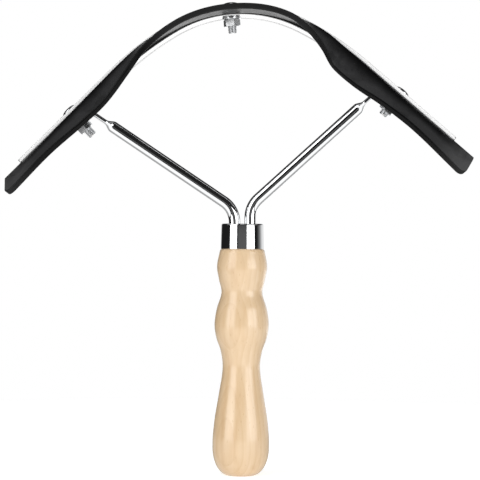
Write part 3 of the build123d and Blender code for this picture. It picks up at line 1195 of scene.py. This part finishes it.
def make_world():
    """White to the camera, an even fill for plain light, a dark room in reflections."""
    world = bpy.data.worlds.new("studio")
    world.use_nodes = True
    bpy.context.scene.world = world
    tree = Tree(world.node_tree)
    tree.nodes.clear()
    way = tree.add("ShaderNodeTexCoord").outputs["Generated"]
    split = tree.add("ShaderNodeSeparateXYZ", {"Vector": way})
    to_right, to_back, to_top = split.outputs
    # Reflections: a white sweep far behind, wider on the right, and a dim room in front
    turned = tree.times(to_right, 0.35)
    sweep = smooth_step(tree, tree.plus(to_back, turned), 0.62, 1.02)
    below_top = smooth_step(tree, to_top, 0.45, 0.15)
    sweep = tree.times(sweep, below_top)
    aside = tree.times(tree.math("ABSOLUTE", to_right), -0.4)
    below = tree.times(smooth_step(tree, to_top, -0.04, -0.16), 0.95)
    sweep = tree.times(sweep, tree.plus(aside, tree.plus(below, 0.75)))
    level = smooth_step(tree, tree.math("ABSOLUTE", to_top), 0.16, 0.09)
    room = tree.times(smooth_step(tree, to_back, -0.88, -0.95), level)
    room = tree.times(room, 0.085)
    wall = smooth_step(tree, tree.plus(to_back, turned), 0.25, 0.95)
    wall = tree.times(wall, smooth_step(tree, to_right, 0.1, 0.6))
    room = tree.plus(room, tree.times(tree.times(wall, level), 0.3))
    mirrored = tree.plus(tree.plus(sweep, room), 0.012)
    seen = tree.add("ShaderNodeBackground", {"Strength": 1.0, "Color": WHITE})
    even = tree.plus(tree.times(to_right, 0.20), 0.36)
    even = tree.math("SUBTRACT", even, tree.times(to_back, 0.20))
    fill = tree.add("ShaderNodeBackground", {"Strength": even, "Color": WHITE})
    dark = tree.add("ShaderNodeBackground", {"Strength": mirrored, "Color": WHITE})
    glossy = pick_by_ray(tree, "Is Glossy Ray", fill.outputs[0], dark.outputs[0])
    picked = pick_by_ray(tree, "Is Camera Ray", glossy, seen.outputs[0])
    out = tree.add("ShaderNodeOutputWorld")
    tree.feed(out.inputs["Surface"], picked)


def area_light(name, wide, tall, radiance):
    """A rectangular light of a set radiance that the camera doesn't see."""
    light = bpy.data.lights.new(name, "AREA")
    light.shape = "RECTANGLE"
    light.size, light.size_y = wide, tall
    light.energy = radiance * pi * wide * tall
    lamp = new_object(name, light)
    lamp.visible_camera = False
    return lamp


def softbox(name, azimuth, low, high, width, distance, radiance):
    """A soft light at an azimuth from the camera's side, between two heights."""
    lamp = area_light(name, width, high - low, radiance)
    angle = radians(azimuth)
    spot = Vector((distance * sin(angle), -distance * cos(angle), (low + high) / 2))
    aim = Vector((0.0, 0.0, spot.z))
    lamp.location = spot
    lamp.rotation_euler = (aim - spot).to_track_quat("-Z", "Y").to_euler()


def overhead_strip(radiance):
    """A narrow light above that draws the bright line along upper edges."""
    lamp = area_light("overhead_strip", 0.30, 1.0, radiance)
    lamp.location = (0.0, -0.1, 1.3)


def make_floor():
    """A round pale tabletop under the handle."""
    mesh = bpy.data.meshes.new("studio_floor")
    rings = lathe([(0.001, 0.0), (130.0, 0.0), (260.0, 0.0), (FLOOR_RADIUS, 0.0)], 96)
    points, faces = skin_rings(rings, close_ends=False)
    mesh.from_pydata([tuple(np.array(p) * MM) for p in points], [], faces)
    floor = new_object("studio_floor", mesh)
    material, tree, shader = new_material("floor_paint", Roughness=0.9)
    place = tree.add("ShaderNodeTexCoord").outputs["Object"]
    mottle = tree.add("ShaderNodeTexNoise", {"Vector": place, "Scale": 3.0, "Detail": 2.0})
    pale = tree.mix(mottle.outputs[0], (0.93, 0.93, 0.93, 1.0), (0.95, 0.95, 0.95, 1.0))
    tree.feed(shader.inputs["Base Color"], pale)
    shader.inputs["Emission Color"].default_value = WHITE
    # In reflections the tabletop is white in front of the handle and falls off behind it
    to_back = tree.add("ShaderNodeSeparateXYZ", {"Vector": place}).outputs[1]
    front = tree.times(smooth_step(tree, to_back, 0.03, -0.06), 0.70)
    fall_off = tree.plus(front, 0.4)
    glow = tree.add("ShaderNodeEmission", {"Strength": fall_off})
    path = tree.add("ShaderNodeLightPath")
    lift = tree.times(path.outputs["Is Camera Ray"], 0.25)
    tree.feed(shader.inputs["Emission Strength"], tree.plus(lift, 0.34))
    picked = pick_by_ray(tree, "Is Glossy Ray", shader.outputs[0], glow.outputs[0])
    tree.feed(tree.nodes["Material Output"].inputs["Surface"], picked)
    mesh.materials.append(material)


def make_camera():
    """Square on to the arch, a long lens, level with the middle of the object."""
    data = bpy.data.cameras.new("camera")
    data.sensor_width = 36.0
    data.lens = CAMERA_LENS
    data.clip_end = 20.0
    camera = new_object("camera", data)
    level = Matrix.Rotation(pi / 2, 4, "X") @ Matrix.Rotation(CAMERA_ROLL, 4, "Z")
    camera.matrix_world = Matrix.Translation(CAMERA_PLACE) @ level
    bpy.context.scene.camera = camera


make_world()
softbox("left_softbox", -49.6, -0.05, 1.35, 0.67, 0.95, 2.4)
softbox("right_softbox", 46.7, -0.05, 0.50, 0.756, 0.95, 2.6)
overhead_strip(1.2)
make_floor()
make_camera()
bpy.context.scene.view_settings.view_transform = "Standard"
